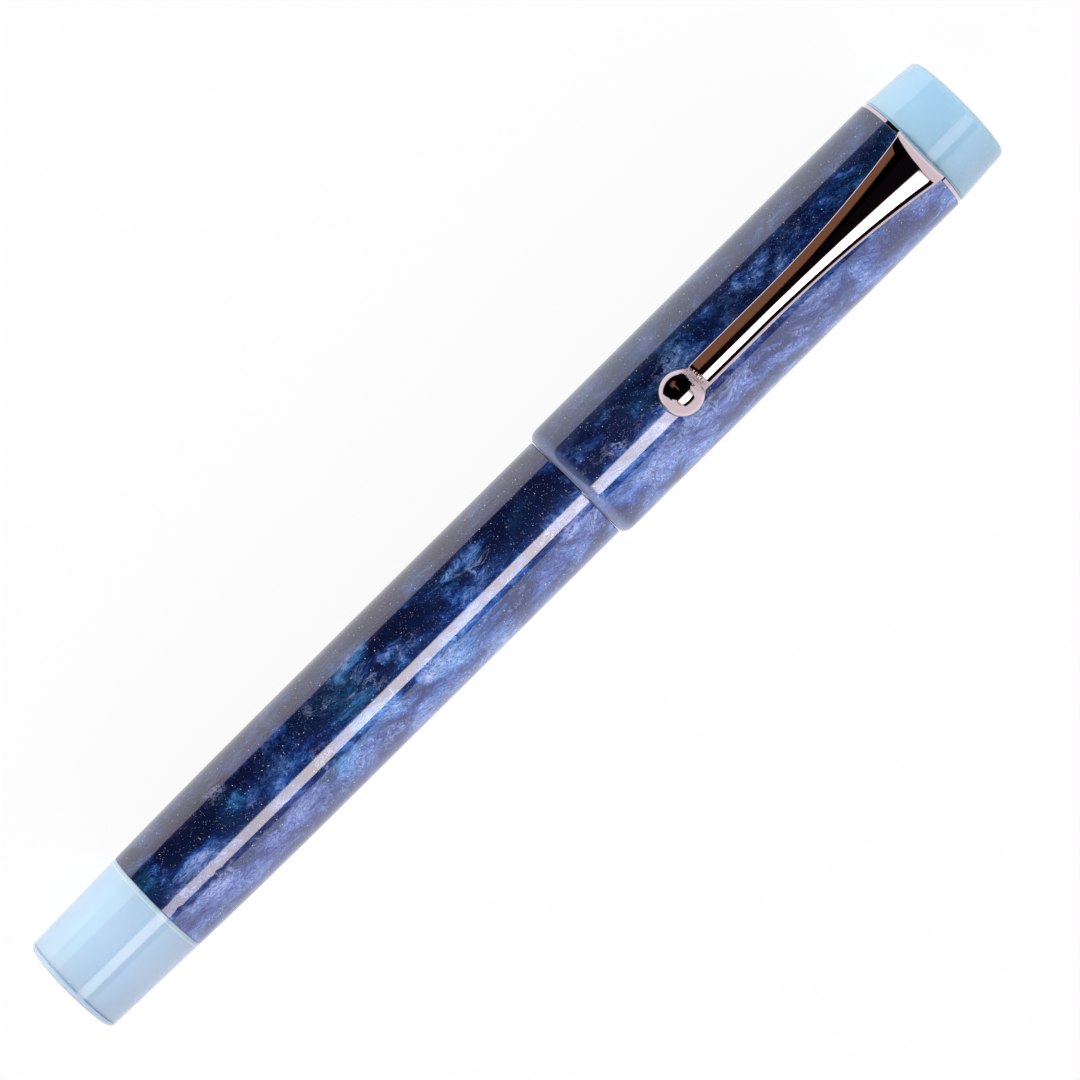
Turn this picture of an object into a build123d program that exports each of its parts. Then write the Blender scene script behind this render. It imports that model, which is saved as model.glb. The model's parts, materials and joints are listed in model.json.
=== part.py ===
from build123d import *
import math
import os

# An eyedropper fountain pen, capped and lying flat with the clip on top.
# Millimetres. +X runs along the pen from the valve knob to the cap finial, +Z goes up through the clip,
# and Z = 0 is the lowest line of the cap. X = 0 is halfway along the closed pen.

# Overall
LENGTH = 138.0
CAP_R = 7.56
AXIS_Z = CAP_R
FRONT_X = LENGTH / 2
REAR_X = -LENGTH / 2
SLIDE_GAP = 0.05
FACE_GAP = 0.05
SEAT_GAP = 0.02
EDGE = 0.1
CHAMFER = 0.3

# Cap
CAP_MOUTH_X = 9.4
CAP_LIP_R = 6.96
CAP_LIP_LENGTH = 1.5
CAP_LIP_LEAN = (0.55, 1)
CAP_FRONT_X = 60.95
CAP_BORE_R = 5.95
CAP_THREAD_BORE_X = 18.6
CAP_WALL_THICKNESS = 1.6

# Clip ring and cap finial
RING_THICKNESS = 0.4
RING_R = 7.42
RELIEF_WIDTH = 0.4
RELIEF_DEPTH = 0.5
FINIAL_REAR_R = 7.48
FINIAL_EDGE_X = 67.75
FINIAL_EDGE_R = 7.04
FINIAL_EDGE = 0.75
STUD_R = 2.4
STUD_FRONT_X = 66.0

# Inner cap
LINER_REAR_X = 36.3
LINER_FRONT_X = 59.2
LINER_WALL = 0.95
LINER_FLOOR = 1.1
LINER_FLOOR_CHAMFER = 0.6
LINER_SEAL_R = 5.7
LINER_SEAL_BORE_R = 4.75

# Barrel
BARREL_R = 6.86
BARREL_FRONT_X = 9.3
BARREL_TAPER_X = -33.0
BARREL_BREAK_X = -47.0
BARREL_BREAK_R = 6.76
BARREL_REAR_X = -55.0
BARREL_REAR_R = 6.605
TANK_R = 4.75
TANK_FRONT_X = 1.2
TANK_REAR_X = -45.5
ORING_POCKET_X = 7.6
ORING_POCKET_R = 5.95
SECTION_ORING_X = 8.2
SECTION_ORING_SECTION = 0.4
SECTION_ORING_GAP = 0.04

# Cap thread on the section, barrel thread on the section, knob thread on the gland
CAP_PITCH = 1.5
CAP_THREAD_R = 6.02
CAP_THREAD_REAR_X = 11.0
CAP_THREAD_LENGTH = 4.6
BARREL_PITCH = 1.0
BARREL_THREAD_R = 5.0
BARREL_THREAD_REAR_X = 2.2
BARREL_THREAD_LENGTH = 4.2
KNOB_PITCH = 1.5
KNOB_THREAD_R = 4.9
KNOB_THREAD_REAR_X = -60.6
KNOB_THREAD_LENGTH = 4.6
THREAD_DEPTH = 0.42
THREAD_ROOT_SHARE = 0.72
THREAD_CREST_SHARE = 0.24
THREAD_FADE_SHARE = 0.2
THREAD_SUNK = 0.08
THREAD_RELIEF = 0.4
THREAD_LAND_GAP = 0.03

# Section
SECTION_REAR_X = 1.3
SECTION_FRONT_X = 35.6
SECTION_COLLAR_R = 6.0
GRIP_REAR_X = 16.8
GRIP_WAIST_X = 29.5
GRIP_WAIST_R = 4.95
GRIP_LIP_X = 34.4
GRIP_LIP_R = 5.25
GRIP_LEANS = ((1, -0.02), (1, 0.12))
SOCKET_REAR_X = 15.0
CHANNEL_R = 1.7
VALVE_SEAT_R = 2.5
VALVE_SEAT_DEPTH = 1.6
VALVE_SEAT_CONE = 0.8
SECTION_FACE_STEP = 0.5
SECTION_FACE_ROUND = (0.25, 0.12)

# Nib unit
HOUSING_R = 3.95
HOUSING_BORE_R = 3.38
HOUSING_REAR_BORE_R = 3.0
HOUSING_FLANGE_R = 4.35
HOUSING_FLANGE = 0.7
HOUSING_STEP = 0.2
FEED_R = 2.96
FEED_REAR_X = 16.0
FEED_TIP_X = 52.0
FEED_TIP_Z = 2.2
FEED_TIP_HALF = 0.8
FEED_WEDGE_X = 44.0
FEED_CORE_R = 1.9
FIN_PITCH = 0.75
FIN_GAP = 0.35
FIN_COUNT = 11
COMB_RISE = 0.5
FIN_FIRST_X = 37.6
FEED_CHANNEL = (0.4, 1.2)
NIB_INNER_R = 3.02
NIB_THICKNESS = 0.28
NIB_REAR_X = 23.5
NIB_TIP_X = 57.0
NIB_TIP_HALF = 0.3
NIB_TIPPING_R = 0.42
NIB_TIPPING_INSET = 0.1
NIB_SHOULDER_X = 41.5
BREATHER_R = 0.6
BREATHER_X = 44.5
SLIT_WIDTH = 0.12

# Valve
ROD_R = 1.5
ROD_FRONT_X = -1.0
ROD_REAR_X = -66.0
ROD_CHAMFER = 0.2
STOPPER_R = 2.4
STOPPER_REAR_X = -4.0
STOPPER_FACE_GAP = 0.15
STOPPER_CONE = 0.7
STOPPER_NOSE = 0.65
STOPPER_NOSE_R = 0.9
GLAND_R = 5.05
GLAND_REAR_X = -61.1
GLAND_ORING_X = -53.6
GLAND_ORING_SECTION = 0.5
GLAND_NUT_THICKNESS = 2.0
GLAND_NUT_SLOT = (1.2, 0.8)
ROD_SEAL_SECTION = 0.72
ROD_SEAL_POCKET_R = 3.05
ROD_SEAL_POCKET_X = -50.7
ROD_SEAL_PLACES = (-48.4, -49.9)
SEAL_GAP = 0.03

# Knob
KNOB_SLOPE = 0.0248
KNOB_REAR_X = -67.7
KNOB_BORE_FLOOR_X = -61.4
KNOB_FLOOR_THICKNESS = 2.2
KNOB_POCKET_R = 4.9
END_SEAM = 0.2
END_EDGE = 0.6
END_SPIGOT = 2.4
END_SPIGOT_WALL = 1.0
SEAM_DEPTH = 0.3
ROD_NUT_R = 3.1
ROD_NUT_THICKNESS = 1.6

# Clip
CLIP_THICKNESS = 0.55
CLIP_BAR_WIDTH = 3.13
CLIP_ROOT_WIDTH = 7.03
CLIP_ROOT_X = 61.3
CLIP_TOP_Z = 2.75
CLIP_TIP_Z = 2.05
CLIP_BEND_R = 1.1
CLIP_FOOT_LIFT = 0.06
CLIP_FLARE_X = 37.0
CLIP_FLARE_SLOPE = 0.17
CLIP_TIP_X = 26.9
BALL_X = 24.5
BALL_R = 2.52
BALL_HALF_HEIGHT = 1.6
BALL_LIFT = 0.06


def at_axis(shape):
    """Lifts a shape made around the X axis up to the pen's own axis."""
    return Pos(0, 0, AXIS_Z) * shape


def turned(outline):
    """A solid turned around the X axis from an outline of lines, whose Y is the radius."""
    return revolve(make_face(outline), Axis.X, 360)


def turned_points(*points):
    """A solid turned from straight runs through (x, radius) points, closed back to the first."""
    return turned(Polyline(*points, close=True))


def tube(x_from, x_to, outer_r, inner_r=0.0):
    """A plain ring or rod between two places on the axis."""
    return turned_points((x_from, inner_r), (x_to, inner_r), (x_to, outer_r), (x_from, outer_r))


def thread(crest_r, pitch, x_rear, length):
    """A right-hand thread ridge, faded out at both ends, to be fused to a core at its root."""
    root_r = crest_r - THREAD_DEPTH
    sunk_r = root_r - THREAD_SUNK
    clear_r = crest_r + THREAD_SUNK
    root_half = pitch * THREAD_ROOT_SHARE / 2
    crest_half = pitch * THREAD_CREST_SHARE / 2
    run = length - pitch
    path = Helix(pitch, run, root_r, center=(x_rear + pitch / 2, 0, 0), direction=(1, 0, 0))
    start = path @ 0
    outward = Vector(0, start.Y, start.Z).normalized()
    profile_plane = Plane(origin=(start.X, 0, 0), x_dir=(1, 0, 0), z_dir=Vector(1, 0, 0).cross(outward))
    profile = make_face(
        Polyline(
            (-root_half, sunk_r),
            (root_half, sunk_r),
            (crest_half, crest_r),
            (-crest_half, crest_r),
            close=True,
        )
    )
    ridge = sweep(profile_plane * profile, path=path, is_frenet=True)
    fade = length * THREAD_FADE_SHARE
    envelope = turned_points(
        (x_rear, 0),
        (x_rear + length, 0),
        (x_rear + length, root_r),
        (x_rear + length - fade, clear_r),
        (x_rear + fade, clear_r),
        (x_rear, root_r),
    )
    return ridge & envelope


def domed_end(edge_x, edge_r, rounding, tip_x):
    """The curved end of a turned outline: a rounded edge at (edge_x, edge_r), tangent to a dome
    that crosses the axis at tip_x."""
    side = 1 if tip_x > edge_x else -1
    depth = abs(tip_x - edge_x)
    centre_r = edge_r - rounding
    dome_r = (depth**2 + centre_r**2 - rounding**2) / (2 * (depth - rounding))
    dome_x = tip_x - side * dome_r
    lean = math.atan2(centre_r, side * (edge_x - dome_x))
    meet = (dome_x + side * dome_r * math.cos(lean), dome_r * math.sin(lean))
    halfway = (math.pi / 2 + lean) / 2
    edge_middle = (edge_x + side * rounding * math.cos(halfway), centre_r + rounding * math.sin(halfway))
    dome_middle = (dome_x + side * dome_r * math.cos(lean / 2), dome_r * math.sin(lean / 2))
    return [
        ThreePointArc((edge_x, edge_r), edge_middle, meet),
        ThreePointArc(meet, dome_middle, (tip_x, 0)),
    ]


def o_ring(x, centre_r, section_r):
    return turned(Pos(x, centre_r) * Circle(section_r).edge())


# Cap


def cap_tube():
    rear = CAP_MOUTH_X
    wall_x = CAP_FRONT_X - CAP_WALL_THICKNESS
    thread_bore_r = CAP_THREAD_R + SLIDE_GAP
    outline = [
        Line((rear, thread_bore_r + CHAMFER), (rear, CAP_LIP_R - EDGE)),
        RadiusArc((rear, CAP_LIP_R - EDGE), (rear + EDGE, CAP_LIP_R), EDGE),
        Spline(
            (rear + EDGE, CAP_LIP_R),
            (rear + CAP_LIP_LENGTH, CAP_R),
            tangents=(CAP_LIP_LEAN, (1, 0)),
        ),
        Line((rear + CAP_LIP_LENGTH, CAP_R), (CAP_FRONT_X - EDGE, CAP_R)),
        Line((CAP_FRONT_X - EDGE, CAP_R), (CAP_FRONT_X, CAP_R - EDGE)),
        Polyline(
            (CAP_FRONT_X, CAP_R - EDGE),
            (CAP_FRONT_X, STUD_R + SLIDE_GAP),
            (wall_x, STUD_R + SLIDE_GAP),
            (wall_x, CAP_BORE_R),
            (CAP_THREAD_BORE_X, CAP_BORE_R),
            (CAP_THREAD_BORE_X - CHAMFER, thread_bore_r),
            (rear + CHAMFER, thread_bore_r),
            (rear, thread_bore_r + CHAMFER),
        ),
    ]
    return turned(outline)


def cap_finial():
    rear = CAP_FRONT_X + RING_THICKNESS + FACE_GAP
    inside = Polyline(
        (FRONT_X, 0),
        (STUD_FRONT_X + FACE_GAP, 0),
        (STUD_FRONT_X + FACE_GAP, STUD_R + SLIDE_GAP),
        (rear, STUD_R + SLIDE_GAP),
        (rear, FINIAL_REAR_R - EDGE),
        (rear + EDGE, FINIAL_REAR_R),
        (FINIAL_EDGE_X, FINIAL_EDGE_R),
    )
    return turned([*domed_end(FINIAL_EDGE_X, FINIAL_EDGE_R, FINIAL_EDGE, FRONT_X), inside])


def cap_stud():
    """The stud that holds the finial and the clip ring against the cap's front wall."""
    rear = CAP_FRONT_X - CAP_WALL_THICKNESS
    return chamfer(tube(rear, STUD_FRONT_X, STUD_R).edges().filter_by(GeomType.CIRCLE), CHAMFER)


def clip_ring():
    """A washer with a relief notch in its rim at each side of the clip's root."""
    ring = tube(CAP_FRONT_X, CAP_FRONT_X + RING_THICKNESS, RING_R, STUD_R + SLIDE_GAP)
    notch = Box(RING_THICKNESS * 3, RELIEF_WIDTH, 2 * RELIEF_DEPTH)
    notch_y = CLIP_ROOT_WIDTH / 2 + RELIEF_WIDTH / 2
    notch_z = math.sqrt(RING_R**2 - notch_y**2)
    for side in (-1, 1):
        ring -= Pos(CAP_FRONT_X, side * notch_y, notch_z) * notch
    return ring


def inner_cap():
    r = CAP_BORE_R - SLIDE_GAP
    floor_x = LINER_FRONT_X - LINER_FLOOR
    return turned_points(
        (LINER_REAR_X, r - LINER_WALL),
        (LINER_REAR_X, r),
        (LINER_FRONT_X, r),
        (LINER_FRONT_X, 0),
        (floor_x, 0),
        (floor_x, r - LINER_WALL - LINER_FLOOR_CHAMFER),
        (floor_x - LINER_FLOOR_CHAMFER, r - LINER_WALL),
    )


def inner_cap_seal():
    return tube(SECTION_FRONT_X + FACE_GAP, LINER_REAR_X - FACE_GAP, LINER_SEAL_R, LINER_SEAL_BORE_R)


# Clip


def clip_top(x):
    """Height of the arm's top above the pen's axis, falling gently towards the ball."""
    along = (CLIP_ROOT_X - x) / (CLIP_ROOT_X - CLIP_TIP_X)
    return CAP_R + CLIP_TOP_Z + (CLIP_TIP_Z - CLIP_TOP_Z) * along


def clip_side():
    """The arm's bent strip seen from the side: X, and the height above the pen's axis."""
    bend_x = CLIP_ROOT_X - CLIP_BEND_R
    bend_z = clip_top(bend_x) - CLIP_BEND_R
    inner_r = CLIP_BEND_R - CLIP_THICKNESS
    tip_z = clip_top(CLIP_TIP_X)
    return make_face(
        [
            Line((CLIP_TIP_X, tip_z), (bend_x, bend_z + CLIP_BEND_R)),
            CenterArc((bend_x, bend_z), CLIP_BEND_R, 0, 90),
            Polyline(
                (CLIP_ROOT_X, bend_z),
                (CLIP_ROOT_X, 0),
                (CLIP_ROOT_X - CLIP_THICKNESS, 0),
                (CLIP_ROOT_X - CLIP_THICKNESS, bend_z),
            ),
            CenterArc((bend_x, bend_z), inner_r, 0, 90),
            Polyline(
                (bend_x, bend_z + inner_r),
                (CLIP_TIP_X, tip_z - CLIP_THICKNESS),
                (CLIP_TIP_X, tip_z),
            ),
        ]
    )


def clip_plan():
    """The arm's outline seen from above: parallel in front, flaring steadily into the root."""
    bar = CLIP_BAR_WIDTH / 2
    root = CLIP_ROOT_WIDTH / 2
    return make_face(
        [
            Line((CLIP_TIP_X, bar), (CLIP_FLARE_X, bar)),
            Spline((CLIP_FLARE_X, bar), (CLIP_ROOT_X, root), tangents=((1, 0), (1, CLIP_FLARE_SLOPE))),
            Line((CLIP_ROOT_X, root), (CLIP_ROOT_X, -root)),
            Spline((CLIP_ROOT_X, -root), (CLIP_FLARE_X, -bar), tangents=((-1, CLIP_FLARE_SLOPE), (-1, 0))),
            Polyline((CLIP_FLARE_X, -bar), (CLIP_TIP_X, -bar), (CLIP_TIP_X, bar)),
        ]
    )


def clip_arm():
    """A strip that rises from the ring, bends over the cap and reaches to the ball."""
    arm = extrude(Plane.XZ * clip_side(), CLIP_ROOT_WIDTH, both=True)
    arm &= extrude(clip_plan(), 2 * CAP_R)
    arm -= tube(0, FRONT_X, CAP_R + CLIP_FOOT_LIFT)
    return arm - clip_ball()


def clip_ball():
    """A flattened ball that rests just clear of the cap."""
    ball = scale(Sphere(BALL_R), by=(1, 1, BALL_HALF_HEIGHT / BALL_R))
    return Pos(BALL_X, 0, CAP_R + BALL_LIFT + BALL_HALF_HEIGHT) * ball


# Barrel


def barrel_tube():
    outer = [
        Polyline(
            (BARREL_FRONT_X, ORING_POCKET_R),
            (BARREL_FRONT_X, BARREL_R - EDGE),
            (BARREL_FRONT_X - EDGE, BARREL_R),
            (BARREL_TAPER_X, BARREL_R),
        ),
        Spline(
            (BARREL_TAPER_X, BARREL_R),
            (BARREL_BREAK_X, BARREL_BREAK_R),
            (BARREL_REAR_X, BARREL_REAR_R),
            tangents=((-1, 0), (-1, -KNOB_SLOPE)),
        ),
    ]
    thread_r = BARREL_THREAD_R + SLIDE_GAP
    bore = Polyline(
        (BARREL_REAR_X, BARREL_REAR_R),
        (BARREL_REAR_X, GLAND_R + SEAT_GAP),
        (TANK_REAR_X, GLAND_R + SEAT_GAP),
        (TANK_REAR_X, TANK_R),
        (TANK_FRONT_X, TANK_R),
        (TANK_FRONT_X, thread_r),
        (ORING_POCKET_X, thread_r),
        (ORING_POCKET_X, ORING_POCKET_R),
        (BARREL_FRONT_X, ORING_POCKET_R),
    )
    return turned([*outer, bore])


# Valve


def valve_gland():
    """The plug in the barrel's rear, with seats for the rod seals and the knob's thread behind."""
    root_r = KNOB_THREAD_R - THREAD_DEPTH
    body = turned_points(
        (TANK_REAR_X - FACE_GAP, ROD_SEAL_POCKET_R),
        (TANK_REAR_X - FACE_GAP, GLAND_R),
        (GLAND_ORING_X + GLAND_ORING_SECTION, GLAND_R),
        (GLAND_ORING_X + GLAND_ORING_SECTION, GLAND_R - 2 * GLAND_ORING_SECTION),
        (GLAND_ORING_X - GLAND_ORING_SECTION, GLAND_R - 2 * GLAND_ORING_SECTION),
        (GLAND_ORING_X - GLAND_ORING_SECTION, GLAND_R),
        (BARREL_REAR_X, GLAND_R),
        (BARREL_REAR_X, root_r),
        (GLAND_REAR_X, root_r),
        (GLAND_REAR_X, ROD_R + SLIDE_GAP),
        (ROD_SEAL_POCKET_X, ROD_R + SLIDE_GAP),
        (ROD_SEAL_POCKET_X, ROD_SEAL_POCKET_R),
    )
    return body + thread(KNOB_THREAD_R, KNOB_PITCH, KNOB_THREAD_REAR_X, KNOB_THREAD_LENGTH)


def gland_oring():
    return o_ring(GLAND_ORING_X, GLAND_R - GLAND_ORING_SECTION, GLAND_ORING_SECTION - SEAT_GAP)


def rod_seals():
    """Two O-rings side by side on the rod."""
    centre_r = ROD_R + SEAL_GAP + ROD_SEAL_SECTION
    front, rear = (o_ring(x, centre_r, ROD_SEAL_SECTION) for x in ROD_SEAL_PLACES)
    return front + rear


def gland_nut():
    """A slotted nut that presses on the rod seals."""
    front = TANK_REAR_X - FACE_GAP
    nut = tube(front - GLAND_NUT_THICKNESS, front, ROD_SEAL_POCKET_R - SEAT_GAP, ROD_R + SLIDE_GAP)
    depth, width = GLAND_NUT_SLOT
    return nut - Pos(front, 0, 0) * Box(depth, 2 * TANK_R, width)


def valve_rod():
    return chamfer(tube(ROD_REAR_X, ROD_FRONT_X, ROD_R).edges().filter_by(GeomType.CIRCLE), ROD_CHAMFER)


def valve_stopper():
    """A rubber cone on the rod's front end, which closes the seat in the section's rear."""
    face_x = SECTION_REAR_X + VALVE_SEAT_DEPTH - STOPPER_FACE_GAP
    cone_x = face_x + STOPPER_CONE
    nose_x = cone_x + STOPPER_NOSE
    return turned_points(
        (STOPPER_REAR_X, ROD_R),
        (STOPPER_REAR_X, STOPPER_R - CHAMFER),
        (STOPPER_REAR_X + CHAMFER, STOPPER_R),
        (face_x, STOPPER_R),
        (cone_x, CHANNEL_R - EDGE),
        (nose_x, STOPPER_NOSE_R),
        (nose_x, 0),
        (ROD_FRONT_X, 0),
        (ROD_FRONT_X, ROD_R),
    )


def rod_nut():
    """A hexagon nut that holds the rod to the knob's floor."""
    front = KNOB_BORE_FLOOR_X - KNOB_FLOOR_THICKNESS - FACE_GAP
    hexagon = Plane.YZ * RegularPolygon(ROD_NUT_R, 6)
    nut = Pos(front - ROD_NUT_THICKNESS, 0, 0) * extrude(hexagon, ROD_NUT_THICKNESS)
    return nut - tube(front - ROD_NUT_THICKNESS, front, ROD_R)


# Knob


def knob():
    front = BARREL_REAR_X - FACE_GAP
    floor_x = KNOB_BORE_FLOOR_X - KNOB_FLOOR_THICKNESS
    return turned_points(
        (front, KNOB_THREAD_R + SLIDE_GAP),
        (front, BARREL_REAR_R - EDGE),
        (front - EDGE, BARREL_REAR_R),
        (KNOB_REAR_X, knob_r(KNOB_REAR_X)),
        (KNOB_REAR_X, KNOB_POCKET_R),
        (floor_x, KNOB_POCKET_R),
        (floor_x, ROD_R + SLIDE_GAP),
        (KNOB_BORE_FLOOR_X, ROD_R + SLIDE_GAP),
        (KNOB_BORE_FLOOR_X, KNOB_THREAD_R + SLIDE_GAP),
    )


def knob_r(x):
    """The knob's outer radius, a shallow cone that carries on from the barrel."""
    return BARREL_REAR_R - KNOB_SLOPE * (BARREL_REAR_X - x)


def knob_end_cap():
    """A domed disc on a spigot, with a narrow seam between it and the knob."""
    front = KNOB_REAR_X - END_SEAM
    rim_r = knob_r(front)
    spigot_r = KNOB_POCKET_R - SEAT_GAP
    spigot_x = front + END_SPIGOT
    inside = Polyline(
        (REAR_X, 0),
        (front, 0),
        (front, spigot_r - END_SPIGOT_WALL),
        (spigot_x, spigot_r - END_SPIGOT_WALL),
        (spigot_x, spigot_r),
        (front + END_SEAM, spigot_r),
        (front + END_SEAM, rim_r - SEAM_DEPTH),
        (front, rim_r - SEAM_DEPTH),
        (front, rim_r),
    )
    return turned([*domed_end(front, rim_r, END_EDGE, REAR_X), inside])


# Section


def section():
    barrel_root = BARREL_THREAD_R - THREAD_DEPTH
    cap_root = CAP_THREAD_R - THREAD_DEPTH
    socket_r = HOUSING_R + SLIDE_GAP
    shoulder = BARREL_FRONT_X + FACE_GAP
    seat_x = SECTION_REAR_X + VALVE_SEAT_DEPTH
    thread_front = BARREL_THREAD_REAR_X + BARREL_THREAD_LENGTH
    land_r = BARREL_THREAD_R - THREAD_LAND_GAP
    round_x, round_r = SECTION_FACE_ROUND
    tail = Polyline(
        (SECTION_REAR_X, VALVE_SEAT_R),
        (SECTION_REAR_X, barrel_root - CHAMFER),
        (SECTION_REAR_X + CHAMFER, barrel_root),
        (thread_front, barrel_root),
        (thread_front + THREAD_RELIEF, land_r),
        (shoulder, land_r),
        (shoulder, SECTION_COLLAR_R),
        (CAP_THREAD_REAR_X - THREAD_RELIEF, SECTION_COLLAR_R),
        (CAP_THREAD_REAR_X, cap_root),
        (GRIP_REAR_X, cap_root),
    )
    grip = Spline(
        (GRIP_REAR_X, cap_root),
        (GRIP_WAIST_X, GRIP_WAIST_R),
        (GRIP_LIP_X, GRIP_LIP_R),
        tangents=GRIP_LEANS,
    )
    lip = ThreePointArc(
        (GRIP_LIP_X, GRIP_LIP_R),
        (SECTION_FRONT_X - round_x, GRIP_LIP_R - round_r),
        (SECTION_FRONT_X, GRIP_LIP_R - SECTION_FACE_STEP),
    )
    bore = Polyline(
        (SECTION_FRONT_X, GRIP_LIP_R - SECTION_FACE_STEP),
        (SECTION_FRONT_X, socket_r),
        (SOCKET_REAR_X, socket_r),
        (SOCKET_REAR_X, CHANNEL_R),
        (seat_x + VALVE_SEAT_CONE, CHANNEL_R),
        (seat_x, VALVE_SEAT_R),
        (SECTION_REAR_X, VALVE_SEAT_R),
    )
    body = turned([tail, grip, lip, bore])
    body += thread(CAP_THREAD_R, CAP_PITCH, CAP_THREAD_REAR_X, CAP_THREAD_LENGTH)
    return body + thread(BARREL_THREAD_R, BARREL_PITCH, BARREL_THREAD_REAR_X, BARREL_THREAD_LENGTH)


def section_oring():
    centre_r = ORING_POCKET_R - SECTION_ORING_GAP - SECTION_ORING_SECTION
    return o_ring(SECTION_ORING_X, centre_r, SECTION_ORING_SECTION)


# Nib unit


def nib_housing():
    flange_x = SECTION_FRONT_X + FACE_GAP
    return turned_points(
        (SOCKET_REAR_X + FACE_GAP, HOUSING_REAR_BORE_R),
        (SOCKET_REAR_X + FACE_GAP, HOUSING_R),
        (flange_x, HOUSING_R),
        (flange_x, HOUSING_FLANGE_R),
        (flange_x + HOUSING_FLANGE - HOUSING_STEP, HOUSING_FLANGE_R),
        (flange_x + HOUSING_FLANGE, HOUSING_FLANGE_R - HOUSING_STEP),
        (flange_x + HOUSING_FLANGE, HOUSING_BORE_R),
        (NIB_REAR_X - HOUSING_STEP, HOUSING_BORE_R),
        (NIB_REAR_X - HOUSING_STEP, HOUSING_REAR_BORE_R),
    )


def feed():
    """A round feed with comb fins underneath, thinning to a wedge under the nib's tines."""
    body = tube(FEED_REAR_X, FEED_TIP_X, FEED_R)
    below = Pos(0, 0, -2 * FEED_R) * Box(2 * FIN_PITCH, 4 * FEED_R, 4 * FEED_R + 2 * COMB_RISE)
    comb_gap = tube(0, FIN_GAP, 2 * FEED_R, FEED_CORE_R) & below
    for i in range(FIN_COUNT):
        body -= Pos(FIN_FIRST_X + i * FIN_PITCH, 0, 0) * comb_gap
    width, depth = FEED_CHANNEL
    channel = Pos((FEED_REAR_X + FEED_TIP_X) / 2, 0, FEED_R) * Box(FEED_TIP_X - FEED_REAR_X, width, depth)
    side = make_face(
        [
            Polyline(
                (FEED_TIP_X, FEED_TIP_Z),
                (FEED_TIP_X, FEED_R),
                (FEED_REAR_X, FEED_R),
                (FEED_REAR_X, -FEED_R),
                (FEED_WEDGE_X, -FEED_R),
            ),
            Spline((FEED_WEDGE_X, -FEED_R), (FEED_TIP_X, FEED_TIP_Z), tangents=((1, 0), (1, 0.9))),
        ]
    )
    plan = make_face(
        [
            Polyline(
                (FEED_WEDGE_X, FEED_R),
                (FEED_REAR_X, FEED_R),
                (FEED_REAR_X, -FEED_R),
                (FEED_WEDGE_X, -FEED_R),
            ),
            Spline((FEED_WEDGE_X, -FEED_R), (FEED_TIP_X, -FEED_TIP_HALF), tangents=((1, 0), (1, 0.25))),
            Line((FEED_TIP_X, -FEED_TIP_HALF), (FEED_TIP_X, FEED_TIP_HALF)),
            Spline((FEED_TIP_X, FEED_TIP_HALF), (FEED_WEDGE_X, FEED_R), tangents=((-1, 0.25), (-1, 0))),
        ]
    )
    body &= extrude(Plane.XZ * side, FEED_R * 2, both=True)
    body &= extrude(plan, FEED_R * 2, both=True)
    return body - channel


def nib():
    """A sheet rolled over the feed, cut to a point, slit from the breather hole to the tip."""
    shell = tube(NIB_REAR_X, NIB_TIP_X, NIB_INNER_R + NIB_THICKNESS, NIB_INNER_R)
    edge = NIB_INNER_R + NIB_THICKNESS
    outline = make_face(
        [
            Spline(
                (NIB_SHOULDER_X, edge),
                (NIB_TIP_X, NIB_TIP_HALF),
                tangents=((1, -0.1), (1, -0.16)),
            ),
            Line((NIB_TIP_X, NIB_TIP_HALF), (NIB_TIP_X, -NIB_TIP_HALF)),
            Spline(
                (NIB_TIP_X, -NIB_TIP_HALF),
                (NIB_SHOULDER_X, -edge),
                tangents=((-1, -0.16), (-1, -0.1)),
            ),
            Polyline((NIB_SHOULDER_X, -edge), (NIB_REAR_X, -edge), (NIB_REAR_X, edge), (NIB_SHOULDER_X, edge)),
        ]
    )
    sheet = shell & extrude(outline, 2 * edge)
    tip_z = NIB_INNER_R + NIB_THICKNESS / 2 - NIB_TIPPING_INSET
    sheet += Pos(NIB_TIP_X - NIB_TIPPING_INSET, 0, tip_z) * Sphere(NIB_TIPPING_R)
    slit_length = NIB_TIP_X - BREATHER_X + 1
    sheet -= Pos(BREATHER_X + slit_length / 2, 0, NIB_INNER_R) * Box(slit_length, SLIT_WIDTH, 2)
    return sheet - Pos(BREATHER_X, 0, NIB_INNER_R) * Cylinder(BREATHER_R, 2)


NODES = [
    cap_tube,
    cap_finial,
    cap_stud,
    clip_ring,
    clip_arm,
    clip_ball,
    inner_cap,
    inner_cap_seal,
    barrel_tube,
    valve_gland,
    gland_oring,
    rod_seals,
    gland_nut,
    valve_rod,
    valve_stopper,
    rod_nut,
    knob,
    knob_end_cap,
    section,
    section_oring,
    nib_housing,
    feed,
    nib,
]

os.makedirs("parts", exist_ok=True)
for make in NODES:
    export_step(at_axis(make()), f"parts/{make.__name__}.step")
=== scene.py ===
import json
import math

import bmesh
import bpy
from mathutils import Matrix, Vector


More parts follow.
